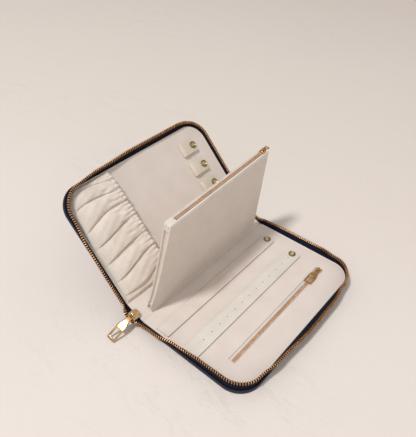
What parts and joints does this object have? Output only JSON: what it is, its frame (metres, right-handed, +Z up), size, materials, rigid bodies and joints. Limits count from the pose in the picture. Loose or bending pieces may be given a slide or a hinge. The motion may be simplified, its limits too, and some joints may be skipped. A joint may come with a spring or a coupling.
{
  "type": "jewelry case",
  "caption": "Zip-around jewelry case that opens like a book, with a standing zipped pouch, snap straps, snap tabs, a zipped pocket and a gathered pocket.",
  "frame": {"origin": "centre of the back half's lining outline, at its underside on the floor", "axes": "+Z up from the floor, +Y along the spine away from the main slider, +X from the spine across the back half"},
  "size_m": [0.2507, 0.2433, 0.1303],
  "materials": {
    "navy_leather": "fine-grained navy leather, sewn at its edges",
    "board": "grey board stiffener, hidden",
    "lining": "smooth cream fabric",
    "pouch_cloth": "smooth cream fabric, sewn",
    "strap_leather": "soft off-white leather",
    "navy_tape": "woven navy zip tape",
    "pale_tape": "woven pale zip tape",
    "copper_teeth": "polished copper-coloured metal teeth",
    "rose_teeth": "rose-gold coloured coil teeth",
    "gold": "polished gold-coloured metal",
    "antique_brass": "antique brass snap metal"
  },
  "bodies": {
    "back_half": {"back_cover": "navy_leather", "back_board": "board", "back_lining": "lining", "back_zip_tape": "navy_tape", "back_zip_teeth": "copper_teeth", "pocket_bag": "pouch_cloth", "pocket_zip_tape": "pale_tape", "pocket_zip_teeth": "rose_teeth", "ring_strap_stud": "antique_brass", "earring_strap_stud": "antique_brass"},
    "spine": {"spine_cover": "navy_leather", "spine_board": "board", "spine_lining": "lining", "spine_zip_tape_near": "navy_tape", "spine_zip_tape_far": "navy_tape", "main_slider": "gold"},
    "main_puller": {"main_puller": "gold"},
    "front_half": {"front_cover": "navy_leather", "front_board": "board", "front_lining": "lining", "front_zip_tape": "navy_tape", "front_zip_teeth": "copper_teeth", "gathered_pocket": "pouch_cloth", "pocket_elastic": "pouch_cloth", "tab_base_1": "strap_leather", "tab_base_2": "strap_leather", "tab_base_3": "strap_leather", "tab_base_4": "strap_leather", "tab_stud_1": "antique_brass", "tab_stud_2": "antique_brass", "tab_stud_3": "antique_brass", "tab_stud_4": "antique_brass"},
    "pouch": {"pouch_hinge_roll": "pouch_cloth", "pouch_back_wall": "pouch_cloth", "pouch_front_wall": "pouch_cloth", "pouch_zip_tape_back": "pale_tape", "pouch_zip_tape_front": "pale_tape", "pouch_near_gusset": "pouch_cloth", "pouch_far_gusset": "pouch_cloth", "pouch_zip_teeth": "rose_teeth", "pouch_end_tab": "pale_tape"},
    "pouch_slider": {"pouch_slider": "gold"},
    "pouch_puller": {"pouch_puller": "gold"},
    "pocket_slider": {"pocket_slider": "gold"},
    "pocket_puller": {"pocket_puller": "gold"},
    "ring_strap": {"ring_strap": "strap_leather", "ring_strap_cap": "antique_brass"},
    "earring_strap": {"earring_strap": "strap_leather", "earring_strap_cap": "antique_brass"},
    "tab_1": {"tab_flap_1": "strap_leather", "tab_cap_1": "antique_brass"},
    "tab_2": {"tab_flap_2": "strap_leather", "tab_cap_2": "antique_brass"},
    "tab_3": {"tab_flap_3": "strap_leather", "tab_cap_3": "antique_brass"},
    "tab_4": {"tab_flap_4": "strap_leather", "tab_cap_4": "antique_brass"}
  },
  "joints": [
    {"name": "spine_fold", "type": "hinge", "parent": "back_half", "child": "spine", "pos_m": [-0.06325, 0, 0.0052], "axis": [0, 1, 0], "range_deg": [-23.35, 65.2]},
    {"name": "cover_fold", "type": "hinge", "parent": "spine", "child": "front_half", "pos_m": [-0.08473, 0, 0.01447], "axis": [0, 1, 0], "range_deg": [-23.36, 65.21]},
    {"name": "pouch_turn", "type": "hinge", "parent": "spine", "child": "pouch", "pos_m": [-0.06771, 0, 0.00876], "axis": [0, 1, 0], "range_deg": [-4.5, 12.6]},
    {"name": "main_puller_turn", "type": "hinge", "parent": "spine", "child": "main_puller", "pos_m": [-0.07026, -0.1054, 0.0152], "axis": [0.9744, 0, -0.225], "range_deg": [-120, 0]},
    {"name": "pouch_slider_slide", "type": "slide", "parent": "pouch", "child": "pouch_slider", "axis": [-0.0351, 0.9994, 0.0051], "range_m": [-0.1345, 0]},
    {"name": "pouch_puller_turn", "type": "hinge", "parent": "pouch_slider", "child": "pouch_puller", "pos_m": [-0.05307, 0.0745, 0.12875], "axis": [-0.9889, -0.0355, 0.1443], "range_deg": [-120, 0]},
    {"name": "pocket_slider_slide", "type": "slide", "parent": "back_half", "child": "pocket_slider", "axis": [0, 1, 0], "range_m": [-0.146, 0]},
    {"name": "pocket_puller_turn", "type": "hinge", "parent": "pocket_slider", "child": "pocket_puller", "pos_m": [0.03365, 0.0755, 0.00843], "axis": [1, 0, 0], "range_deg": [-120, 0]},
    {"name": "ring_strap_turn", "type": "hinge", "parent": "back_half", "child": "ring_strap", "pos_m": [-0.03835, -0.0975, 0.0055], "axis": [-1, 0, 0], "range_deg": [-20, 0]},
    {"name": "earring_strap_turn", "type": "hinge", "parent": "back_half", "child": "earring_strap", "pos_m": [-0.00235, -0.0975, 0.0055], "axis": [-1, 0, 0], "range_deg": [-100, 0]},
    {"name": "tab_1_turn", "type": "hinge", "parent": "front_half", "child": "tab_1", "pos_m": [-0.15492, 0.0582, 0.09041], "axis": [-0.6858, 0, 0.7278], "range_deg": [-75, 0]},
    {"name": "tab_2_turn", "type": "hinge", "parent": "front_half", "child": "tab_2", "pos_m": [-0.13736, 0.0582, 0.07178], "axis": [-0.6858, 0, 0.7278], "range_deg": [-75, 0]},
    {"name": "tab_3_turn", "type": "hinge", "parent": "front_half", "child": "tab_3", "pos_m": [-0.11994, 0.0582, 0.0533], "axis": [-0.6858, 0, 0.7278], "range_deg": [-75, 0]},
    {"name": "tab_4_turn", "type": "hinge", "parent": "front_half", "child": "tab_4", "pos_m": [-0.10245, 0.0582, 0.03474], "axis": [-0.6858, 0, 0.7278], "range_deg": [-75, 0]}
  ],
  "couplings": [
    {"joint": "cover_fold", "follows": "spine_fold", "ratio": 1},
    {"joint": "pouch_turn", "follows": "spine_fold", "ratio": 0.186}
  ]
}
